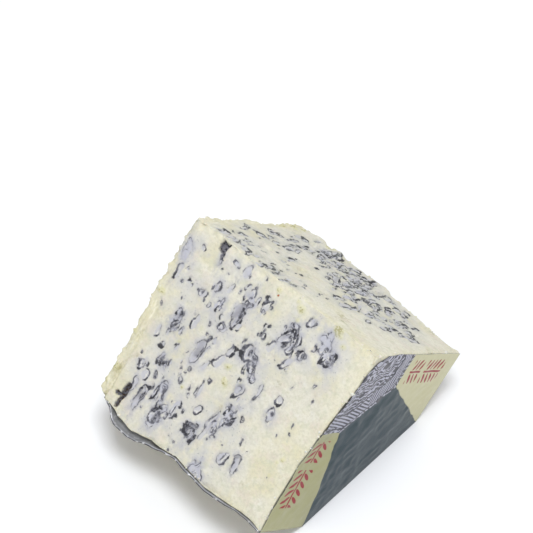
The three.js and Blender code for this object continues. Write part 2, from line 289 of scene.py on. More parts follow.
def chance_gap(chance):
    return rng.uniform(0, 360) if rng.random() < chance else None


def spot_in(x, down, width, length, out):
    """A place in an oval, at a random turn and at out times its size from its middle."""
    turn = rng.uniform(0, 2 * math.pi)
    return x + width * out * math.cos(turn), down + length * out * math.sin(turn)


class Veins:
    """The veins of one face, kept as signed distances to their outlines at its points."""

    def __init__(self, along, down, seed):
        flat = np.stack([along, down * BEND_STRETCH, np.zeros_like(along)], axis=-1)
        self.along = along + layered(flat, BENT_ALONG, seed)
        self.down = down + layered(flat, BENT_DOWN, seed + 2)
        self.lobes = layered(flat, LOBES, seed + 4)
        self.outlines = [np.full(along.shape, FAR_AWAY) for _ in range(2)]
        self.widths = [np.zeros(along.shape) for _ in range(2)]
        self.core = np.full(along.shape, FAR_AWAY)
        self.halo = np.zeros(along.shape)
        self.smoke = np.zeros(along.shape)
        self.count = 0

    def distance(self, x, down, width, length, lean=0, taper=0):
        """The signed distance to an upright drop, negative inside, and the angle round it."""
        turn = math.radians(lean)
        across, along = self.along - x, self.down - down
        across, along = (
            across * math.cos(turn) + along * math.sin(turn),
            along * math.cos(turn) - across * math.sin(turn),
        )
        half_long = length / 2
        half_wide = width / 2 * np.clip(1 + taper * along / half_long, NARROWEST, WIDEST)
        a, b = across / half_wide, along / half_long
        radius = np.sqrt(a * a + b * b) + 1e-6
        slope = np.sqrt((a / half_wide) ** 2 + (b / half_long) ** 2) / radius
        return (radius - 1) / slope, np.arctan2(a, b)

    def spot(self, x, down, size):
        return self.distance(x, down, size, size)[0]

    def add(self, x, down, width, length, lean=0, taper=0, gap=None, core=0, halo=0.5, ink=1):
        """One vein. A gap, in degrees, leaves its outline open there. Core is the share of
        it that is filled with mould, and ink scales how thick the outline is."""
        signed, angle = self.distance(x, down, width, length, lean, taper)
        signed = signed + self.lobes * min(width / LOBED_WIDTH, 1)
        layer = self.count % 2
        nearer = signed < self.outlines[layer]
        self.outlines[layer] = np.where(nearer, signed, self.outlines[layer])
        heavy = rng.uniform(-math.pi, math.pi)
        line = ink * rng.uniform(*LINE_WIDTHS) * (1 + LINE_SWELL * np.cos(angle - heavy))
        if gap is not None:
            open_side = GAP_CUT * np.cos(angle - math.radians(gap))
            line = line * np.clip(GAP_LEVEL - open_side, 0, 1)
        self.widths[layer] = np.where(nearer, line, self.widths[layer])
        if core > 0:
            middle = x + width * CORE_ASIDE
            filled, _ = self.distance(middle, down, width * core, length * core, lean, taper)
            self.core = np.minimum(self.core, filled + 0.8 * self.lobes)
        outside = np.maximum(signed, 0)
        spread = np.exp(-((outside / (HALO_REACH + HALO_WIDENING * width)) ** 2))
        self.halo = np.maximum(self.halo, halo * spread)
        near = np.exp(-((outside / SMOKE_REACH) ** 2))
        self.smoke = 1 - (1 - self.smoke) * (1 - SMOKE_SHARE * halo * near)
        self.count += 1

    def clump(self, x, down, width, length, core=0.6, halo=0.9, ink=1):
        for _ in range(int(width * length / CLUMP_AREA) + CLUMP_LEAST):
            place = spot_in(x, down, width, length, math.sqrt(rng.random()) * CLUMP_REACH)
            size = rng.uniform(*CLUMP_WIDTHS), rng.uniform(*CLUMP_LENGTHS)
            lean, taper, gap = rng.uniform(-25, 25), rng.uniform(-0.4, 0.4), chance_gap(0.5)
            filled = core if rng.random() < 0.3 else 0
            self.add(*place, *size, lean, taper, gap, filled, halo, ink)

    def patch(self, x, down, width, length, count, lengths, halo, ink=1):
        for _ in range(count):
            place = spot_in(x, down, width, length, rng.random() ** 0.6 * 0.5)
            long = rng.uniform(*lengths)
            wide = long * rng.uniform(0.35, 0.6)
            lean, taper, gap = rng.uniform(-14, 14), rng.uniform(-0.5, 0.5), chance_gap(0.6)
            core = rng.uniform(0.4, 0.75) if rng.random() < 0.45 * ink else 0
            self.add(*place, wide, long, lean, taper, gap, core, halo * rng.uniform(0.4, 1), ink)


# The near face's main veins, as they lie there: x, down, width, length and lean
NEAR_LOOPS = (
    (-23, 5.5, 3, 2.8, 0), (-16.8, 5, 3.2, 5.6, 8), (-34.5, 23.5, 2.6, 2.8, 20),
    (-29.2, 23.7, 3.4, 4, -30), (-19.4, 14.7, 1.9, 5.6, 4), (-2, 12.2, 2.4, 7.4, 6),
    (-9.8, 12, 2, 6, -6), (-6.8, 13.5, 2.2, 6.4, 10), (-13.6, 29.2, 3.4, 3.4, 40),
    (-13.3, 35.8, 1.8, 3.4, 0), (-5.5, 35.2, 2, 4.6, 10), (5.8, 46, 3.4, 6.8, 4),
    (-11.1, 46.4, 2.2, 5.2, 12), (-14.2, 42, 1.6, 6.6, 8), (17.4, 24.4, 3.2, 6, 20),
    (15.6, 71, 3, 6.4, 10), (21.4, 69.4, 3.2, 9.4, -6), (-12.7, 68.4, 2.6, 8.8, 6),
    (-26, 49, 1.4, 3, 0), (8.6, 38, 3.2, 4.4, -20), (13.9, 40.6, 1.2, 7, 0),
)
NEAR_RINGS = ((23.2, 38.2, 3), (-4, 61.5, 3.2), (-31.8, 50.8, 2.2))
NEAR_DARK = (
    (-24.2, 17.6, 2.2, 4.6, 6), (-11.1, 22.4, 4.4, 10.4, -4), (-16.9, 43.6, 4, 9.8, 4),
    (1.2, 31.2, 5.2, 8.6, 12), (20.8, 19.2, 2.8, 4.6, 16), (23.2, 45, 3.6, 5.6, 0),
    (-35.5, 62.4, 3.2, 4.6, 0), (-28.6, 73.6, 3.6, 10.6, 4), (-33.6, 71.4, 2.6, 7.4, 8),
    (17.6, 5.2, 2.4, 3.8, 10), (-29.4, 7.4, 1.5, 5, -8), (-32.4, 36.2, 3.4, 4.2, -20),
    (-31.6, 42.2, 3, 5, 10),
)
# Veins with a gap: the last number is the gap's direction
NEAR_HOOKS = (
    (-24.6, 34.4, 2.6, 8.2, 4, 90), (3.6, 63.6, 3.2, 15.6, 6, 80), (-7, 41, 4.2, 6.8, 10, 100),
    (-32, 65, 3.4, 4.6, 10, -60), (8, 22.8, 3, 6.6, 20, 60), (-41.2, 22.6, 2.2, 8.4, 0, 90),
    (-37.4, 9.4, 2.8, 2.6, 30, 0), (-7.4, 55.4, 1.6, 6.4, 4, 90), (-37.4, 47, 1.8, 5.6, 0, -90),
)
NEAR_CLUMPS = (
    (13.2, 15.6, 8.5, 9.5), (-9.4, 16.6, 5, 9), (6.4, 34.6, 5, 6.4),
    (-19.6, 23.4, 3, 7), (-28, 56.2, 5.2, 4.8), (-18.4, 74.8, 6.4, 11),
    (-2, 70.8, 6, 8.4), (8, 57.4, 5.2, 8), (5, 64, 3, 7),
    (-21.6, 67, 5, 6.6), (-32, 39.4, 4.4, 9), (30.4, 11.8, 6, 8.6),
)
# Pale clouds: the last number is the ink
NEAR_CLOUDS = (
    (28, 9.6, 7, 10, 0.5), (7.6, 82.4, 9, 6, 0.5), (-43, 14, 2.4, 8, 0.2),
)
NEAR_FAINT = ((-14, 30, 56, 50), (-8, 64, 64, 34), (8, 12, 50, 22))
NEAR_SPECKS = (
    (-8, 2.4), (-17.5, 35.2), (32.6, 25), (35.4, 30.4), (1.2, 22.8), (3.6, 17),
    (-34.8, 30), (-27, 47.4), (-24, 61), (19, 59.8), (37.4, 65.8), (34.2, 42.6),
    (35.2, 45.8), (-41, 38), (-17, 53), (-38.4, 58), (30, 50), (-3, 28),
    (24.4, 30.8), (-6, 83.4),
)
NESTED_WIDTH, SPURRED_WIDTH, SPUR_WIDTH = 2.4, 2.2, 1.3
SPECK_SIZES, SPECK_STRETCHES = (0.4, 0.8), (1.2, 3)
FAINT_AREA = 70
LONG_VEINS, SHORT_VEINS, SHORTER_VEINS = (2.4, 6.5), (1, 3.2), (1, 3)

# Where the other faces have veins: x, down, width, length and how many
FAR_PATCHES = (
    (15, 53, 44, 52, 136), (-27, 44, 32, 72, 46), (-18, 5, 44, 9, 24),
    (-8, 66, 40, 30, 70), (-20, 72, 20, 16, 26), (36, 52, 8, 8, 4),
)
FAR_FAINT = ((-12, 14, 64, 22, 22), (-30, 30, 28, 40, 22))
BARE_END_PATCH = (0, 46, 60, 56, 26)


def add_loop(veins, x, down, width, length, lean):
    """A main vein. A wide one has a smaller one inside and a short one at its side."""
    gap = chance_gap(0.6)
    taper = rng.uniform(-0.5, 0.5)
    veins.add(x, down, width, length, lean, taper=taper, gap=gap)
    if width > NESTED_WIDTH:
        aside = rng.choice((-0.22, 0.22)) * width
        size = width * 0.5, length * 0.6
        veins.add(x + aside, down, *size, lean, taper, gap=rng.uniform(0, 360), halo=0.3, ink=0.6)
    if width > SPURRED_WIDTH:
        aside = rng.choice((-0.5, 0.5)) * width
        below = rng.uniform(-0.5, 0.5) * length
        size = SPUR_WIDTH, rng.uniform(1.8, 3.6)
        veins.add(x + aside, down + below, *size, lean, halo=0.3, gap=180 * (aside > 0))


def fill_near_face(veins):
    for loop in NEAR_LOOPS:
        add_loop(veins, *loop)
    for x, down, size in NEAR_RINGS:
        veins.add(x, down, size, size * 1.1, halo=0.25)
    for dark in NEAR_DARK:
        veins.add(*dark, taper=rng.uniform(-0.4, 0.4), core=0.42, halo=0.8)
    for *hook, gap in NEAR_HOOKS:
        veins.add(*hook, gap=gap, halo=0.35)
    for clump in NEAR_CLUMPS:
        veins.clump(*clump)
    for *cloud, ink in NEAR_CLOUDS:
        veins.clump(*cloud, core=0, halo=1, ink=ink)
    for x, down in NEAR_SPECKS:
        size = rng.uniform(*SPECK_SIZES)
        length = size * rng.uniform(*SPECK_STRETCHES)
        veins.add(x, down, size, length, lean=rng.uniform(-40, 40), halo=0.15, ink=0.8)
    for x, down, width, length in NEAR_FAINT:
        count = int(width * length / FAINT_AREA)
        veins.patch(x, down, width, length, count, SHORT_VEINS, 0.35, ink=0.7)


def fill_far_face(veins):
    for patch in FAR_PATCHES:
        veins.patch(*patch, LONG_VEINS, 0.65)
    for patch in FAR_FAINT:
        veins.patch(*patch, SHORTER_VEINS, 0.35, ink=0.8)


def fill_bare_end(veins):
    veins.patch(*BARE_END_PATCH, LONG_VEINS, 0.5)


# The cheese's relief

# Small olive flecks on the cut faces: x, down and size
NEAR_FLECKS = (
    (-1.5, 3.3, 2.2), (10.9, 3.6, 3.4), (28.6, 1.6, 4.6), (-26.4, 46, 1.2), (-14.8, 58.6, 1.8),
    (-0.5, 46.8, 2.8), (-2.8, 41, 2.4), (37.6, 64.6, 1.4), (39.7, 55.2, 2.2), (-45, 70, 4),
    (30.6, 3.4, 1.8), (8.6, 2, 1.4), (-43, 33.6, 3), (38.2, 57.6, 1.2), (-45.6, 54, 2.6),
    (12, 8, 1.2), (33, 6, 1.8), (-46, 77, 2.4),
)
FAR_FLECKS = (
    (-42.5, 73, 4.2), (-44, 66, 3), (-39.5, 78, 3.4), (-27, 80, 3.4),
    (-24, 81, 2.6), (-46, 80, 3),
)
RUST_FLECK = (-0.9, 5.2, 0.9)

# Open holes, as in the solids: x, down, width, length and depth
NEAR_HOLES = (
    (-31, 2.5, 4.6, 6.6, 3), (-35.4, 76, 2.6, 8.6, 3.2), (-31.7, 40, 3, 9, 1.6),
    (-37.4, 78.2, 3.4, 1.8, 2.6), (-35.6, 82.2, 1.5, 6.4, 2.6), (-17.3, 42.5, 2.6, 10, 1.6),
    (-11, 22, 3, 11, 2), (13, 16, 6, 9, 1.4), (1, 31, 4.5, 8, 1.2),
    (-28.7, 73, 3, 9, 1.5), (-18.7, 74, 4.5, 7, 1.5), (-2.2, 71, 4, 7, 1.5),
    (3.3, 61, 2.2, 14, 1.2), (21.3, 69, 3, 8, 1.2), (20.5, 19, 2.8, 7, 1.2),
    (5.5, 46, 3, 6, 1.2),
)
FAR_HOLES = (
    (-21.7, 60, 4, 8, 1.6), (17.2, 39, 5, 8, 1.6), (-3.7, 51, 3, 9, 1.4),
    (-26.7, 25, 4.5, 6, 1.4), (-10.5, 30, 3, 6, 1.2), (12.2, 53, 3.5, 7, 1.4),
    (7, 73, 4, 8, 1.6), (34.2, 63, 3, 5, 1.2), (-29.2, 71, 5, 8, 1.6),
    (27, 35, 3, 7, 1.2),
)
# Single lumps, and dents where the height is negative: x, down, radius and height
NEAR_DENTS = ((-41, 80, 4, 0.9), (-47, 0, 4.5, -0.6), (47, 0, 5, -1.2))
FAR_DENTS = (
    (-47, 0, 4.5, -0.5), (47, 0, 5, -1), (-47, 85, 6, -2), (-21, 81, 3.8, 1.9),
    (-33, 82, 3.2, 1), (4, 82, 3.4, 0.9),
)
DEEP_HOLE, HOLE_LIP, HOLE_WALL = 2.5, 1.1, 1.5
VEIN_DIP, VEIN_LIP, VEIN_WALL = 0.32, 0.5, 0.7
CORE_DIP, CORE_LIP, CORE_WALL = 0.55, 0.3, 0.6
FLECK_RISE, FLECK_PITCH, FLECK_LIP, FLECK_WALL = 0.45, 1.1, 1, 1.4

SWELL, SWELL_PITCH = 0.5, 23
GRAIN, GRAIN_PITCH = 0.3, 6.1
FINE_GRAIN, FINE_PITCH = 0.07, 0.9
CRUMBLE, CRUMBLE_PITCH, CRUMBLE_WIDTH, CRUMBLE_MORE = 1.1, 5.2, 4.5, 0.1
LABELLED_EDGE, LABELLED_KEPT = 8, 0.6
CORNER_CRUMBLE, CORNER_REACH = 1.6, 11
LUMP, LUMP_PITCH, LUMP_WIDTH, LUMPS_END = 0.95, 2.1, 3, -38
FURROW, FURROW_PITCH, FURROW_MIDDLE = 0.6, 1.7, 3.2
FURROW_STRETCH = np.array([1, 0.35, 0.35])
GROOVE, GROOVE_PLACE, GROOVE_WIDTH = 1.5, 5, 1
GROOVE_WANDER, GROOVE_WANDER_PITCH = 1.3, 9
GROOVE_UNEVEN, GROOVE_UNEVEN_PITCH, GROOVE_LEVEL = 1.4, 7, 0.8
GROOVE_ROUGH, GROOVE_ROUGH_PITCH = 0.3, 1.6
GROOVE_TOP, GROOVE_TOP_WIDTH = 60, 6
EDGE_WOBBLE, EDGE_WOBBLE_PITCH = 0.5, 4
BARE_STRIP, BARE_STRIP_FADE, EDGE_TINT_WIDTH = 4, 2, 5
TIP_SHOWN, COVERED_RELIEF, COVERED_END_SUNK = 72, 0.15, 2
CRUMB_EDGE_WIDTH = 1.5

# What the points of the faces carry for the finish
DISTANCES = ("outline_a", "outline_b", "core", "opened", "fleck", "rust")
STRENGTHS = ("width_a", "width_b", "halo", "smoke")


class Skin:
    def __init__(self):
        place, normal, side, from_corner = rounded_section()
        rings = skin_rings()
        self.rows, self.columns = len(rings), len(side)
        scale, tilt = rings[:, 1:2], rings[:, 2:3]
        x = np.repeat(rings[:, 0:1], self.columns, axis=1)
        y = place[:, 0] * scale
        z = MIDDLE + (place[:, 1] - MIDDLE) * scale
        self.x, self.y, self.z, self.side = x, y, z, side
        upright, lying = np.cos(tilt * math.pi / 2), np.sin(tilt * math.pi / 2)
        parts = np.broadcast_arrays(lying, normal[:, 0] * upright, normal[:, 1] * upright)
        self.normals = np.stack(parts, axis=-1)

        self.on_bare_end = np.broadcast_to(tilt <= -1, x.shape)
        self.on_end = np.broadcast_to(np.abs(tilt) >= 1, x.shape)
        self.shown = (side != HIDDEN) | (tilt < 0) | (self.on_end & (z > TIP_SHOWN))
        self.from_bare_end = x + HALF_LENGTH
        from_end = np.minimum(self.from_bare_end, HALF_LENGTH - CHEESE_INSET - x)
        from_side = np.minimum(np.maximum(from_corner, 0), from_end)
        self.from_edge = np.maximum(np.where(self.on_end, (1 - scale) * MIDDLE, from_side), 0)
        shoulder = section_corners(0)[1]
        self.from_near_edge = np.hypot(y - shoulder[0], z - shoulder[1])
        self.points = self.with_wandering_edge(np.stack([x, y, z], axis=-1), scale)

    def with_wandering_edge(self, points, scale):
        wander = value_at(NEAR_EDGE, np.maximum(self.x, NEAR_EDGE[0][0])) * scale
        wander = (wander + EDGE_WOBBLE * noise(points, EDGE_WOBBLE_PITCH, 6)) * (1 - self.on_end)
        wander = wander * fade(self.from_near_edge, NEAR_EDGE_WIDTH)
        return points + DOWN_NEAR_FACE * wander[..., None]

    def wear(self):
        points = self.points
        out = SWELL * noise(points, SWELL_PITCH, 1) + GRAIN * noise(points, GRAIN_PITCH, 2)
        loose = np.maximum(rough(points, CRUMBLE_PITCH, 3, octaves=4) + CRUMBLE_MORE, 0)
        loose *= 1 - LABELLED_KEPT * fade(HALF_LENGTH - self.x, LABELLED_EDGE)
        from_worn_corner = np.hypot(self.from_bare_end, self.from_near_edge)
        loose *= 1 + CORNER_CRUMBLE * fade(from_worn_corner, CORNER_REACH)
        out -= CRUMBLE * loose * fade(self.from_edge, CRUMBLE_WIDTH)
        out += FINE_GRAIN * rough(points, FINE_PITCH, 4, octaves=2)
        lumps = rough(points, LUMP_PITCH, 12) * fade(self.from_edge, LUMP_WIDTH)
        out += LUMP * lumps * (self.x < LUMPS_END)
        torn = rough(points * FURROW_STRETCH, FURROW_PITCH, 7)
        from_furrows = np.abs(self.from_bare_end - FURROW_MIDDLE)
        return out + FURROW * torn * fade(from_furrows, FURROW_MIDDLE) * ~self.on_end

    def groove(self):
        """The groove beside the bare end: how far away it is and how deep it is there."""
        wander = GROOVE_WANDER * noise(self.points, GROOVE_WANDER_PITCH, 8)
        away = self.from_bare_end - GROOVE_PLACE - wander
        uneven = GROOVE_UNEVEN * noise(self.points, GROOVE_UNEVEN_PITCH, 9)
        deep = np.clip(uneven + GROOVE_LEVEL, 0, 1)
        deep = deep * np.clip((GROOVE_TOP - self.z) / GROOVE_TOP_WIDTH, 0, 1)
        return away, deep * (self.y < 0) * ~self.on_end

    def face(self, which):
        chosen = self.on_bare_end if which == HIDDEN else (self.side == which) & ~self.on_end
        x, y, below = (self.points[chosen] * (1, 1, -1) + (0, 0, APOTHEM)).T
        if which == HIDDEN:
            return chosen, y, below
        return chosen, x, np.hypot(y, below)


def face_relief(points, along, down, veins, holes, dents, flecks):
    """How far a face's points move out, how far the mould has opened each, and the signed
    distance to the nearest fleck."""
    out = np.zeros(along.shape)
    opened = np.full(along.shape, FAR_AWAY)
    for *hole, depth in holes:
        signed, _ = veins.distance(*hole)
        out -= depth * fade(signed + HOLE_LIP, HOLE_WALL)
        if depth > DEEP_HOLE:
            opened = np.minimum(opened, signed)
    for x, place, radius, height in dents:
        away = ((along - x) ** 2 + (down - place) ** 2) / radius**2
        out += height * np.exp(-away)
    inside = np.minimum(*veins.outlines)
    out -= VEIN_DIP * fade(inside + VEIN_LIP, VEIN_WALL)
    out -= CORE_DIP * fade(veins.core + CORE_LIP, CORE_WALL)
    fleck = np.full(along.shape, FAR_AWAY)
    if flecks:
        fleck = np.minimum.reduce([veins.spot(*spot) for spot in flecks])
        crumbly = 1 + rough(points, FLECK_PITCH, 13)
        out += FLECK_RISE * crumbly * fade(fleck + FLECK_LIP, FLECK_WALL)
    return out, opened, fleck


def add_faces(skin, out):
    """Adds the faces' relief to out, and returns what the finish reads at each point."""
    values = {name: np.full(skin.x.shape, FAR_AWAY) for name in DISTANCES}
    values |= {name: np.zeros(skin.x.shape) for name in STRENGTHS}
    faces = (
        (NEAR, NEAR_HOLES, NEAR_DENTS, NEAR_FLECKS, fill_near_face),
        (FAR, FAR_HOLES, FAR_DENTS, FAR_FLECKS, fill_far_face),
        (HIDDEN, (), (), (), fill_bare_end),
    )
    for seed, (which, holes, dents, flecks, fill) in enumerate(faces):
        chosen, along, down = skin.face(which)
        points = skin.points[chosen]
        veins = Veins(along, down, 40 + 10 * seed)
        fill(veins)
        moved, opened, fleck = face_relief(points, along, down, veins, holes, dents, flecks)
        out[chosen] += moved
        rust = veins.spot(*RUST_FLECK) if which == NEAR else FAR_AWAY
        distances = *veins.outlines, veins.core, opened, fleck, rust
        strengths = *veins.widths, veins.halo, veins.smoke
        for name, numbers in zip(DISTANCES + STRENGTHS, distances + strengths):
            values[name][chosen] = numbers
    return values


def cheese_mesh(material):
    skin = Skin()
    out = skin.wear()
    away, deep = skin.groove()
    from_groove = np.abs(away + GROOVE_ROUGH * noise(skin.points, GROOVE_ROUGH_PITCH, 10))
    out -= GROOVE * deep * fade(from_groove, GROOVE_WIDTH)
    values = add_faces(skin, out)
    strip = fade(skin.from_bare_end - BARE_STRIP, BARE_STRIP_FADE)
    values["strip"] = np.where(skin.on_bare_end, 0, strip)
    # The groove's mask, which the paste's material uses for painted shade along it.
    values["groove"] = deep * fade(np.abs(away), 2 * GROOVE_WIDTH)
    values["edge"] = fade(skin.from_edge, EDGE_TINT_WIDTH)
    out = np.where(skin.shown, out, np.minimum(COVERED_RELIEF * out, 0))
    points = as_cut(skin.points + skin.normals * out[..., None])

    ends = np.array([
        [points[0, :, 0].min() - COVERED_END_SUNK, 0, MIDDLE],
        [points[-1, :, 0].mean(), 0, MIDDLE],
    ])
    faces = grid_faces(skin.rows, skin.columns, closed=True)
    count, last = skin.rows * skin.columns, (skin.rows - 1) * skin.columns
    for column in range(skin.columns):
        after = (column + 1) % skin.columns
        faces.append((count, column, after))
        faces.append((count + 1, last + after, last + column))
    flat_values = {
        name: np.concatenate([numbers.reshape(-1), numbers.reshape(-1)[[0, -1]]])
        for name, numbers in values.items()
    }
    flat = np.concatenate([points.reshape(-1, 3), ends])
    made = mesh_object("cheese_wedge", flat, faces, [material], flat_values)
    return made, points[(skin.from_edge < CRUMB_EDGE_WIDTH) & skin.shown]


# Materials

# How much brighter than a screen's white the lights make a white thing
OVERLIT = 1.15
# The sockets of a mix node for colours
MIX_A, MIX_B, MIX_RESULT = 6, 7, 2
STREAK_STRETCH = (1, 0.25, 0.25)


class Graph:
    """A material's nodes, with a short call for each kind, and its colour so far."""

    def __init__(self, name, colour):
        self.colour = colour
        self.material = bpy.data.materials.new(name)
        self.material.use_nodes = True
        self.nodes = self.material.node_tree.nodes
        self.nodes.clear()
        self.shader = self.node("BsdfPrincipled")
        self.node("OutputMaterial", Surface=self.shader.outputs[0])
        place = self.node("TexCoord").outputs["Object"]
        self.place = self.scaled(place, 1 / MM)
        self.x, self.y, self.z = self.node("SeparateXYZ", Vector=self.place).outputs

    def feed(self, socket, value):
        if isinstance(value, bpy.types.NodeSocket):
            self.material.node_tree.links.new(value, socket)
        elif value is not None:
            socket.default_value = value

    def set(self, node, **inputs):
        for name, value in inputs.items():
            self.feed(node.inputs[name.replace("_", " ")], value)
        return node

    def node(self, kind, **inputs):
        return self.set(self.nodes.new("ShaderNode" + kind), **inputs)

    def run(self, kind, setting, choice, *values):
        """The first output of a node with one setting, from its first inputs."""
        node = self.node(kind)
        setattr(node, setting, choice)
        for socket, value in zip(node.inputs, values):
            self.feed(socket, value)
        return node.outputs[0]

    math = partialmethod(run, "Math", "operation")
    vector = partialmethod(run, "VectorMath", "operation")
    plus, minus = partialmethod(math, "ADD"), partialmethod(math, "SUBTRACT")
    size, greater = partialmethod(math, "ABSOLUTE"), partialmethod(math, "MAXIMUM")
    spread = partialmethod(math, "MULTIPLY_ADD")

    def scaled(self, vector, factor):
        return self.vector("SCALE", vector, None, None, factor)

    def times(self, product, *factors):
        for factor in factors:
            product = self.math("MULTIPLY", product, factor)
        return product

    def ramp(self, value, low, high):
        """Rises smoothly from 0 at low to 1 at high, or falls where low is the greater."""
        ends = (low, high, 0, 1) if low < high else (high, low, 1, 0)
        return self.run("MapRange", "interpolation_type", "SMOOTHSTEP", value, *ends)

    def noise(self, pitch, detail=3, roughness=0.5, place=None):
        node = self.node("TexNoise", Scale=1 / pitch, Detail=detail, Roughness=roughness)
        return self.set(node, Vector=place or self.place).outputs["Fac"]

    def blotches(self, pitch, low, high, detail=3, roughness=0.5, moved=0):
        """A ramp over noise. Moved takes it to where the noise is unlike the one here."""
        place = self.vector("ADD", self.place, (moved, moved, moved)) if moved else None
        return self.ramp(self.noise(pitch, detail, roughness, place), low, high)

    def value(self, name):
        node = self.node("Attribute")
        node.attribute_name = name
        return node.outputs["Fac"]

    def mix(self, share, a, b):
        """From a at no share to b at the full share."""
        node = self.node("Mix", Factor=share)
        node.data_type = "RGBA"
        self.feed(node.inputs[MIX_A], a)
        self.feed(node.inputs[MIX_B], b)
        return node.outputs[MIX_RESULT]

    def lay(self, over, share, *strength):
        self.colour = self.mix(self.times(share, *strength), self.colour, over)

    def bump(self, height, distance, strength, normal=None):
        node = self.node("Bump", Height=height, Distance=distance * MM, Strength=strength)
        return self.set(node, Normal=normal).outputs[0]

    def finish(self, **inputs):
        """Finishes the shader. Its colour is dimmed, as the lights turn the floor white."""
        self.set(self.shader, Base_Color=self.scaled(self.colour, 1 / OVERLIT), **inputs)
        return self.material


PASTE, PASTE_WARM = srgb(236, 233, 217), srgb(230, 225, 195)
PASTE_PALE, PASTE_BRIGHT = srgb(238, 236, 226), srgb(244, 240, 218)
PASTE_RIM, PASTE_YELLOW = srgb(231, 226, 192), srgb(222, 219, 164)
PASTE_SHADE, PASTE_ROSE = srgb(200, 197, 174), srgb(230, 220, 206)
PASTE_GREENISH = srgb(212, 214, 190)
OLIVE, RUST, CRACK = srgb(160, 154, 100), srgb(170, 96, 50), srgb(80, 68, 58)
INK, INK_SOFT, FAR_INK = srgb(58, 58, 64), srgb(118, 119, 128), srgb(110, 113, 112)
VEIN_BLUR, VEIN_INSIDE = srgb(142, 143, 152), srgb(198, 199, 210)
HALO, FAR_HALO, SMOKE = srgb(186, 187, 198), srgb(194, 196, 188), srgb(212, 212, 209)
HOLLOW_PALE, HOLLOW_DARK = srgb(134, 134, 142), srgb(66, 66, 74)


def lay_paste(g):
    g.lay(PASTE_WARM, g.blotches(16, 0.42, 0.68))
    g.lay(PASTE_PALE, g.blotches(5, 0.52, 0.7, detail=4, roughness=0.65), 0.6)
    g.lay(PASTE_ROSE, g.blotches(7, 0.5, 0.64, detail=5, roughness=0.65, moved=31), 0.65)
    g.lay(PASTE_GREENISH, g.blotches(4, 0.5, 0.66, detail=5, roughness=0.65, moved=57), 0.6)
    g.lay(PASTE_RIM, g.value("edge"), 0.35)
    g.lay(PASTE_SHADE, g.blotches(1.3, 0.4, 0.66, detail=5, roughness=0.75), 0.42)


def lay_bare_strip(g):
    """The worn strip beside the bare end, with bright streaks, olive streaks that are partly painted
    shade in its furrows, painted shade along the groove, and olive moss.
    """
    strip = g.value("strip")
    g.lay(PASTE_RIM, strip, 0.35)
    stretched = g.vector("MULTIPLY", g.place, STREAK_STRETCH)
    streaks = g.noise(1.6, detail=4, roughness=0.65, place=stretched)
    g.lay(PASTE_BRIGHT, strip, g.ramp(streaks, 0.48, 0.34))
    within = g.ramp(g.x, -HALF_LENGTH + 1, -HALF_LENGTH + 2.4)
    # The olive streaks in the strip's lower part: partly olive colour, partly painted shade in its
    # furrows.
    dark = g.times(strip, within, g.ramp(g.z, 58, 44), g.ramp(streaks, 0.5, 0.64))
    g.lay(OLIVE, dark, g.blotches(8, 0.42, 0.6, detail=1), 0.42)
    # Painted shade along the groove, tinted olive.
    g.lay(OLIVE, g.value("groove"), g.blotches(1.4, 0.4, 0.6), 0.35)
    g.lay(OLIVE, g.blotches(9, 0.64, 0.74, detail=2), g.blotches(1.6, 0.45, 0.62), 0.5)


def lay_smoke(g, far):
    cloudy = g.times(g.value("smoke"), g.blotches(6.5, 0.3, 0.6))
    g.lay(SMOKE, cloudy, 0.8)
    halo = g.times(g.value("halo"), g.blotches(2.6, 0.22, 0.6))
    g.lay(g.mix(far, HALO, FAR_HALO), halo, 0.85)
    g.lay(VEIN_BLUR, g.blotches(0.85, 0.62, 0.72, detail=2, moved=83), cloudy, 0.7)


def lay_veins(g, far, shake):
    """The veins: their pale insides, blurred rims, painted highlights along their outlines, and ink.
    """
    breaks = g.spread(g.blotches(2.1, 0.3, 0.6, detail=2), 1.15, 0.25)
    patchy = g.times(g.blotches(1.5, 0.36, 0.68, moved=12), 0.42)
    inks, widths = [], []
    for layer in ("a", "b"):
        away = g.plus(g.value("outline_" + layer), shake)
        width = g.times(g.value("width_" + layer), breaks)
        g.lay(VEIN_INSIDE, g.ramp(away, 0, -0.5), 0.6)
        apart = g.minus(g.size(away), width)
        drawn = g.ramp(width, 0, 0.12)
        g.lay(VEIN_BLUR, g.ramp(apart, 0.9, 0), drawn, patchy)
        # A painted highlight: a pale line just inside each thick outline, where the vein's rim
        # catches the light.
        from_highlight_line = g.size(g.plus(away, g.plus(width, 0.45)))
        g.lay(PASTE_PALE, g.ramp(from_highlight_line, 0.32, 0.1), g.ramp(width, 0.12, 0.35), 0.6)
        inks.append(g.times(g.ramp(apart, 0.2, -0.16), drawn))
        widths.append(width)
    core = g.ramp(g.plus(g.value("core"), shake), 0.3, -0.3)
    core = g.times(core, g.blotches(1.3, 0.25, 0.55))
    bold = g.plus(g.noise(1.5, roughness=0.6), g.greater(*widths))
    depth = g.ramp(g.greater(bold, g.times(core, 0.9)), 0.76, 1.1)
    mould = g.mix(depth, g.mix(far, INK_SOFT, FAR_INK), INK)
    g.lay(mould, g.greater(g.greater(*inks), core), g.spread(far, -0.02, 0.96))


def lay_flecks(g, shake):
    fleck = g.value("fleck")
    g.lay(PASTE_YELLOW, g.ramp(fleck, 0.9, -0.7), 0.5)
    broken = g.plus(fleck, g.spread(g.noise(1, detail=4, roughness=0.7), 9, -3.6))
    g.lay(OLIVE, g.ramp(broken, 0.2, -0.7), 0.65)
    g.lay(RUST, g.ramp(g.plus(g.value("rust"), shake), 0.2, -0.2))


def lay_holes(g, shake):
    """The open holes, grey near the ridge and brown further down."""
    opened = g.ramp(g.spread(shake, 1.5, g.value("opened")), 0.25, -0.35)
    mottled = g.blotches(0.9, 0.4, 0.6)
    grey, brown = g.mix(mottled, HOLLOW_PALE, HOLLOW_DARK), g.mix(mottled, INK_SOFT, CRACK)
    g.lay(g.mix(g.ramp(g.z, 45, 40), grey, brown), opened)


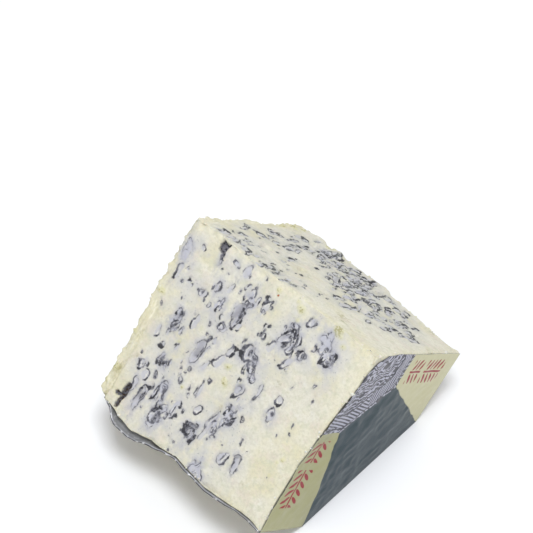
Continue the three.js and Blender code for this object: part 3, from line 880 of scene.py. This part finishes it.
def cheese_material():
    g = Graph("cheese_paste", PASTE)
    far = g.ramp(g.y, -0.2, 0.2)
    shake = g.spread(g.noise(0.9, roughness=0.6), 0.9, -0.45)
    lay_paste(g)
    lay_bare_strip(g)
    lay_smoke(g, far)
    lay_veins(g, far, shake)
    lay_flecks(g, shake)
    lay_holes(g, shake)
    normal = g.bump(g.noise(3.2), 0.6, 0.7)
    normal = g.bump(g.noise(0.7, detail=4, roughness=0.6), 0.16, 0.9, normal)
    g.set(g.shader, Subsurface_Weight=0.1, Subsurface_Scale=MM, Subsurface_Radius=(1, 0.8, 0.5))
    return g.finish(Roughness=g.spread(g.noise(4), 0.25, 0.5), Normal=normal, Specular_IOR_Level=0.12)


def crumb_material():
    g = Graph("cheese_crumb", PASTE_PALE)
    g.lay(PASTE_WARM, g.blotches(2.5, 0.4, 0.7, detail=2))
    g.lay(INK_SOFT, g.blotches(1.4, 0.64, 0.72, detail=2))
    g.set(g.shader, Subsurface_Weight=0.1, Subsurface_Scale=MM)
    return g.finish(Roughness=0.6, Normal=g.bump(g.noise(0.5), 0.08, 0.8), Specular_IOR_Level=0.35)


# The foil's form

FOIL_SHEET = 0.15
FOIL_PITCH = 1
FOIL_TIP, FOIL_TIP_ROUND = 5, 0.5
FOIL_SHORT, FOIL_CORNER, FOIL_CORNER_WIDTH = 0.4, 4, 9
HIDDEN_FROM_EDGE = 9
# How far out the foil's cut edge stands: its last columns, and each side's height
EDGE_OUTS = (1, 0.6, 0.3)
FOIL_PROUD, FOIL_PROUD_WAVE = 0.4, 0.5
END_PROUD, END_PROUD_WAVE = -0.35, 0.45
FAR_PROUD, FOIL_LEAST_PROUD = -2.2, 0.12
WAVE_PITCH, WAVE_STRETCH = 4.5, np.array([1, 0.6, 0.6])
FOIL_FLARE, FLARE_WAVE, FLARE_PITCH = 0.5, 0.8, 6
FOIL_DRAWN_WIDTH, FOIL_DRAWN_IN, TIP_SHARE = 8, 3, 0.25
CORNER_DRAWN, CORNER_DRAWN_WIDTH = 2.2, 13
# The flap at the near edge: x, then how far it stands out
FLAP = ((-37.5, 0), (-34.5, 2.6), (-30, 2.6), (-22, 2.2), (-13.5, 1.2), (-8, 0))
FLAP_WIDTH, FLAP_WAVE, FLAP_PITCH = 9, 0.25, 3
CREASE, CREASE_PITCH = 0.55, 11
SMALL_CREASE, SMALL_CREASE_PITCH = 0.7, 4.7
RIPPLE, RIPPLE_PITCH = 0.12, 2.6
SMOOTH_EDGE, SMOOTH_FOOT = 6, 4
BASE_CREASE, SHOULDER_CREASE = 0.35, 0.35
END_CREASED, END_CREASED_HALF, END_CREASE_SLOPE = 0.52, 0.48, 5


def foil_columns():
    """Start corner, share towards the next, side, share of the cut edge's rise, and the
    distance from that edge."""
    columns = [(1, 0, NEAR, out, 0) for out in EDGE_OUTS]
    corners = section_corners(0)
    for start, side in ((1, NEAR), (2, HIDDEN), (3, FAR)):
        length = math.dist(corners[start], corners[start + 1])
        count = round(length / FOIL_PITCH)
        for i in range(count):
            share = {NEAR: i / count, HIDDEN: HIDDEN_FROM_EDGE, FAR: 1 - i / count}[side]
            columns.append((start, i / count, side, 0, share * length))
    columns += [(3, 1, FAR, out, 0) for out in (0, *reversed(EDGE_OUTS))]
    return columns


def foil_rows():
    """The shares from the tip to the rim, then along the rim."""
    across = round((APOTHEM - FOIL_TIP) / FOIL_PITCH)
    along = round(DRUM_HEIGHT / FOIL_PITCH)
    return [(i / across, 0) for i in range(across)] + [(1, i / along) for i in range(along + 1)]


def add_creases(points, reach, inwards, side, on_base, on_end, towards):
    height, on_rim = points[..., 2], 1 - on_end
    ridged = 1 - np.abs(noise(points, CREASE_PITCH, 21))
    ridged = ridged - np.abs(noise(points, SMALL_CREASE_PITCH, 22)) * SMALL_CREASE
    crease = CREASE * np.clip(ridged, 0, 1) + RIPPLE * noise(points, RIPPLE_PITCH, 23)
    crease = crease * (1 - fade(inwards, SMOOTH_EDGE) * (side == FAR))
    end_share = 1 - np.abs(reach - END_CREASED) / END_CREASED_HALF
    end_share = np.clip(end_share * END_CREASE_SLOPE, 0, 1) * on_end
    from_foot = np.clip(height / SMOOTH_FOOT, 0, 1) * (1 - on_base)
    from_shoulder = (APOTHEM * (1 - DIAGONAL) - height) / SMOOTH_FOOT + SHOULDER_CREASE
    out = crease * from_foot * np.clip(from_shoulder, 0, 1) * on_rim * DIAGONAL
    up = BASE_CREASE * np.clip(crease, 0, 1) * on_base * on_rim
    points[..., 0] += crease * end_share
    points[..., 1] += out * towards
    points[..., 2] += up - out


def part_edges(points, reach, inwards, side, proud, on_end):
    """Lets the cut edges stand out, draw back, wave and flare."""
    x = points[..., 0]
    wave = noise(points * WAVE_STRETCH, WAVE_PITCH, 24)
    near_proud = FOIL_PROUD + FOIL_PROUD_WAVE * wave
    near_proud = near_proud - CORNER_DRAWN * fade(x + HALF_LENGTH, CORNER_DRAWN_WIDTH)
    stand = np.where(side == NEAR, near_proud, FAR_PROUD)
    stand = np.where(on_end, END_PROUD + END_PROUD_WAVE * wave, stand)
    drawn_back = np.minimum(stand, 0) * fade(inwards * reach, FOIL_DRAWN_WIDTH)
    drawn_back = drawn_back * np.clip(reach / TIP_SHARE, 0, 1)
    stand = drawn_back + np.maximum(stand, FOIL_LEAST_PROUD) * proud
    flare = FOIL_FLARE * (1 + FLARE_WAVE * noise(points, FLARE_PITCH, 25)) * proud
    cleared = np.maximum(value_at(NEAR_EDGE, x), -FOIL_DRAWN_IN)
    cleared = cleared * fade(inwards, NEAR_EDGE_WIDTH)
    lip = value_at(FLAP, x) * (1 + FLAP_WAVE * noise(points, FLAP_PITCH, 26))
    flare = (flare + cleared + lip * fade(inwards, FLAP_WIDTH)) * (side == NEAR) * (1 - on_end)
    points[..., 1] += side * (stand + flare) * DIAGONAL
    points[..., 2] += np.abs(side) * (stand - flare) * DIAGONAL


def foil_skin(inset):
    """One skin of the foil as a grid of points, and whether each is on the labelled end."""
    starts, shares, side, proud, inwards = (np.array(part) for part in zip(*foil_columns()))
    outwards, along = (np.array(part)[:, None] for part in zip(*foil_rows()))
    corners, shares = np.array(section_corners(inset)), shares[:, None]
    base_y, base_z = (corners[starts] * (1 - shares) + corners[starts + 1] * shares).T
    drop = APOTHEM - base_z
    tip_reach = FOIL_TIP * (1 + FOIL_TIP_ROUND * (base_y / drop) ** 2) / drop
    reach = tip_reach + (1 - tip_reach) * outwards
    bare_edge = -HALF_LENGTH + FOIL_SHORT + FOIL_CORNER * fade(inwards, FOIL_CORNER_WIDTH)
    x = (HALF_LENGTH - inset) * (1 - along) + bare_edge * along
    points = np.stack([x, base_y * reach, APOTHEM - drop * reach], axis=-1)
    on_end = along == 0
    add_creases(points, reach, inwards, side, starts == 2, on_end, np.sign(base_y))
    part_edges(points, reach, inwards, side, proud, on_end)
    return as_cut(points), np.broadcast_to(on_end, x.shape)


def foil_mesh(printed, plain, edge):
    """The sheet: its printed skin, its plain skin and the rim between them."""
    outer, on_end = foil_skin(0)
    inner, _ = foil_skin(FOIL_SHEET)
    rows, columns = on_end.shape
    count = rows * columns
    faces = grid_faces(rows, columns, closed=False)
    inside = [tuple(count + corner for corner in reversed(face)) for face in faces]
    near = [row * columns for row in range(rows)]
    far = [row * columns + columns - 1 for row in range(rows)][::-1]
    bare = [(rows - 1) * columns + column for column in range(columns)]
    tip = list(range(columns))[::-1]
    run = near + bare[1:] + far[1:] + tip[1:]
    rim = [(a, count + a, count + b, b) for a, b in zip(run, run[1:])]
    points = np.concatenate([outer.reshape(-1, 3), inner.reshape(-1, 3)])
    values = {"on_end": np.tile(on_end.reshape(-1), 2)}
    made = mesh_object("foil_wrap", points, faces + inside + rim, [printed, plain, edge], values)
    # The outermost columns of the inner skin take the edge finish too, with its painted glints and
    # painted shade.
    edge_columns = 0, columns - 2
    inner_slots = [2 if i % (columns - 1) in edge_columns else 1 for i in range(len(inside))]
    slots = [0] * len(faces) + inner_slots + [2] * len(rim)
    made.data.polygons.foreach_set("material_index", slots)
    return made


# The foil's print: silver, yellow and green, with plain ornament

# The foil's one yellow in a lit copy and a darker shaded copy for the near side: painted light and
# painted shade.
LIT_FOIL_YELLOW, SHADED_FOIL_YELLOW = srgb(207, 203, 165), srgb(176, 174, 131)
FOIL_GREEN, FOIL_RED = srgb(50, 67, 74), srgb(158, 44, 52)
FOIL_SILVER, FOIL_ENGRAVED = srgb(190, 190, 204), srgb(40, 38, 48)
# The cut edge's finish: bare metal left bright only in spots, as painted glints, over painted shade.
FOIL_EDGE_GLINT, FOIL_EDGE_SHADE = srgb(232, 232, 236), srgb(66, 68, 76)
FOIL_INSIDE, FOIL_DULL = srgb(206, 208, 214), srgb(176, 178, 184)

SHADED_YELLOW_END, LIT_YELLOW_START = -24, 12
BAND_EDGE = 0.2
MEDALLION, MEDALLION_BORDER = 38, (29.3, 35.7)
# The octagons round the medallion: distance from the ridge and half the width
MEDALLION_RINGS = ((36.3, 0.35), (28.7, 0.45), (26.6, 0.3))
LINE_SLANT, LINE_PITCH, BAR_SLANT, BAR_PITCH = 0.5, 1.25, 0.7, 0.9
SPRAY_MIDDLE, SPRAY_STEP = 8.6, 3.6
SPRAYS = ((42.4, 52.8), (56, 73.8))
LEAF_REACH, LEAF_HALF_LENGTH, LEAF_HALF_WIDTH = 3.3, 2.9, 0.85
LEAF_COSINE, LEAF_SINE = 0.85, 0.53
LOZENGE_STEP, LOZENGE_PLACE = 7, 13
LOZENGE_HALF_LENGTH, LOZENGE_HALF_HEIGHT = 4.2, 6.5


def band(g, value, low, high):
    rise, fall = g.ramp(value, low, low + BAND_EDGE), g.ramp(value, high, high - BAND_EDGE)
    return g.times(rise, fall)


def oval(g, a, half_a, b, half_b):
    """1 at the rim of an oval, and less inside it."""
    a, b = g.times(a, 1 / half_a), g.times(b, 1 / half_b)
    return g.plus(g.times(a, a), g.times(b, b))


def sprays(g, aside, below, outwards):
    sideways = g.times(g.minus(below, aside), DIAGONAL)
    stem = g.size(g.minus(sideways, SPRAY_MIDDLE))
    step = g.minus(g.math("FLOORED_MODULO", outwards, SPRAY_STEP), SPRAY_STEP / 2)
    reach = g.minus(stem, LEAF_REACH)
    along = g.plus(g.times(reach, LEAF_COSINE), g.times(step, LEAF_SINE))
    across = g.minus(g.times(step, LEAF_COSINE), g.times(reach, LEAF_SINE))
    leaf = oval(g, along, LEAF_HALF_LENGTH, across, LEAF_HALF_WIDTH)
    spray = g.greater(g.ramp(leaf, 1.1, 0.8), g.ramp(stem, 0.6, 0.4))
    return g.times(spray, g.greater(*(band(g, outwards, *ends) for ends in SPRAYS)))


def lozenges(g):
    along = g.times(g.math("PINGPONG", g.x, LOZENGE_STEP), 1 / LOZENGE_HALF_LENGTH)
    up = g.times(g.size(g.minus(g.z, LOZENGE_PLACE)), 1 / LOZENGE_HALF_HEIGHT)
    away = g.plus(along, up)
    return g.times(g.ramp(away, 1, 0.94), g.ramp(away, 0.5, 0.56))


def engraving(g, aside, below, octagon, wobble):
    """Wavy lines, octagons and a border of short bars, on silver."""
    bend = g.spread(g.noise(6, detail=2), 14, -7)
    lines = g.plus(g.minus(below, g.times(g.y, LINE_SLANT)), bend)
    lines = g.plus(g.math("PINGPONG", lines, LINE_PITCH), g.times(wobble, 0.3))
    bars = g.plus(aside, g.times(below, BAR_SLANT))
    bars = g.plus(g.math("PINGPONG", bars, BAR_PITCH), g.times(wobble, 0.25))
    border = band(g, octagon, *MEDALLION_BORDER)
    engraved = g.mix(border, g.ramp(lines, 0.35, 0.75), g.ramp(bars, 0.35, 0.6))
    for place, half in MEDALLION_RINGS:
        away = g.size(g.minus(octagon, place))
        engraved = g.greater(engraved, g.ramp(away, half + 0.12, half - 0.1))
    return g.mix(g.times(engraved, 0.9), FOIL_SILVER, FOIL_ENGRAVED)


def foil_print_material():
    g = Graph("foil_print", SHADED_FOIL_YELLOW)
    on_end = g.ramp(g.value("on_end"), 0.3, 0.7)
    aside, below = g.size(g.y), g.minus(APOTHEM, g.z)
    outwards = g.times(g.plus(aside, below), DIAGONAL)
    octagon = g.greater(below, outwards)
    wobble = g.spread(g.noise(5), 1.8, -0.9)
    sector = g.minus(aside, g.times(below, SECTOR_SLOPE))
    green = g.ramp(g.plus(sector, wobble), 0.3, -0.3)
    # The yellow sectors: painted shade on the near side, in the darker copy of the yellow, turning to
    # the painted lit copy towards the far side.
    g.lay(LIT_FOIL_YELLOW, g.ramp(g.y, SHADED_YELLOW_END, LIT_YELLOW_START))
    g.lay(FOIL_GREEN, green)
    on_rim = g.times(lozenges(g), g.minus(1, on_end))
    red = g.greater(g.times(sprays(g, aside, below, outwards), on_end), on_rim)
    g.lay(FOIL_RED, red, g.minus(1, green))
    medallion = g.ramp(octagon, MEDALLION + 0.3, MEDALLION - 0.1)
    g.lay(engraving(g, aside, below, octagon, wobble), medallion, on_end)
    normal = g.bump(g.noise(9, detail=4, roughness=0.55), 1.6, 0.22)
    normal = g.bump(g.noise(1.4), 0.06, 0.5, normal)
    shine = g.spread(g.noise(3, detail=2), 0.18, 0.3)
    return g.finish(Roughness=shine, Normal=normal, Metallic=0.72)


def foil_metal(name, colour, dark):
    g = Graph(name, colour)
    # On the cut edge these dark blotches are painted shade and the bright spots left between them
    # painted glints; on the inside they are a duller tone of the metal.
    g.lay(dark, g.blotches(1.6, 0.34, 0.44))
    return g.finish(Roughness=0.35, Metallic=0.3, Normal=g.bump(g.noise(2), 0.15, 0.7))


# Crumbs that cling to the worn edges

CRUMB_COUNT = 260
CRUMB_SMALLEST, CRUMB_LARGEST = 0.2, 0.65
CRUMB_STRETCHES, CRUMB_BUMP, CRUMB_BUMP_PITCH = (0.5, 1.2), 0.7, 0.8


def ball():
    bpy.ops.mesh.primitive_ico_sphere_add(subdivisions=2, radius=1)
    made = bpy.context.object
    points = np.array([vertex.co[:] for vertex in made.data.vertices])
    faces = [tuple(face.vertices) for face in made.data.polygons]
    bpy.data.meshes.remove(made.data)
    return points, faces


def crumbs(edges, material):
    shape, shape_faces = ball()
    points, faces = [], []
    for place in edges[rng.integers(0, len(edges), CRUMB_COUNT)]:
        size = CRUMB_SMALLEST + (CRUMB_LARGEST - CRUMB_SMALLEST) * rng.random() ** 3
        stretch = rng.uniform(*CRUMB_STRETCHES, 3)
        bumpy = 1 + CRUMB_BUMP * noise(shape + rng.uniform(0, 90, 3), CRUMB_BUMP_PITCH, 31)
        start = len(points) * len(shape)
        points.append(place + shape * size * stretch * bumpy[:, None])
        faces += [tuple(start + corner for corner in face) for face in shape_faces]
    return mesh_object("cheese_crumbs", np.concatenate(points), faces, [material])


# The pieces

cheese, worn_edges = cheese_mesh(cheese_material())
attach(cheese, "root")
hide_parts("cheese")

clinging = crumbs(worn_edges, crumb_material())
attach(clinging, "root")

inside_finish = foil_metal("foil_inside", FOIL_INSIDE, FOIL_DULL)
# The cut edge's finish, with painted glints and painted shade.
edge_finish = foil_metal("foil_edge", FOIL_EDGE_GLINT, FOIL_EDGE_SHADE)
foil = foil_mesh(foil_print_material(), inside_finish, edge_finish)
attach(foil, "root")
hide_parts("foil")


# The floor, the lights and the camera

FLOOR_WHITE = srgb(246, 248, 252)
FLOOR_HALF, FLOOR_DROP = 3000, 0.05
# Soft square lights: name, direction, distance and size in metres, and watts
LIGHTS = (
    ("key", (0.12, -0.09, 0.98), 1.2, 0.45, 8.5),
    ("front_fill", (-0.1, -0.8, 0.6), 1.3, 1.2, 2.8),
    ("far_fill", (0.2, 0.8, 0.6), 1.3, 1.2, 2.4),
)
WORLD_STRENGTH = 0.5


def make_floor():
    g = Graph("floor_white", FLOOR_WHITE)
    g.set(g.shader, Base_Color=g.colour, Roughness=0.9, Specular_IOR_Level=0.1)
    corners = np.array([[-1, -1, 0], [1, -1, 0], [1, 1, 0], [-1, 1, 0]]) * FLOOR_HALF
    made = mesh_object("floor", corners, [(0, 1, 2, 3)], [g.material])
    made.location.z = -FLOOR_DROP * MM


def area_light(name, towards, distance, size, watts):
    data = bpy.data.lights.new(name, "AREA")
    data.size, data.energy = size, watts
    made = placed(name, data)
    direction = Vector(towards).normalized()
    made.location = direction * distance
    made.rotation_euler = direction.to_track_quat("Z", "Y").to_euler()


def make_world():
    world = bpy.data.worlds.new("studio")
    world.use_nodes = True
    background = world.node_tree.nodes["Background"]
    background.inputs["Color"].default_value = (1, 1, 1, 1)
    background.inputs["Strength"].default_value = WORLD_STRENGTH
    bpy.context.scene.world = world


# The camera, from the wedge's corners in the photograph
CAMERA_AZIMUTH, CAMERA_ELEVATION, CAMERA_ROLL = 40.48, 52.84, 3.5
CAMERA_TURNS = ((CAMERA_AZIMUTH, "Z"), (90 - CAMERA_ELEVATION, "X"), (CAMERA_ROLL, "Z"))
CAMERA_AIM = Vector((-32.76, 26.04, 42))
CAMERA_DISTANCE = 831
CAMERA_LENS, CAMERA_SENSOR = 135.1, 36


def make_camera():
    data = bpy.data.cameras.new("camera")
    data.lens, data.sensor_width, data.clip_start = CAMERA_LENS, CAMERA_SENSOR, 0.01
    turned = Matrix.Identity(4)
    for degrees, axis in CAMERA_TURNS:
        turned = turned @ Matrix.Rotation(math.radians(degrees), 4, axis)
    made = placed("camera", data)
    made.matrix_world = turned
    made.location = (CAMERA_AIM + turned.col[2].xyz * CAMERA_DISTANCE) * MM
    bpy.context.scene.camera = made


make_floor()
for light in LIGHTS:
    area_light(*light)
make_world()
make_camera()
bpy.context.scene.view_settings.view_transform = "Standard"
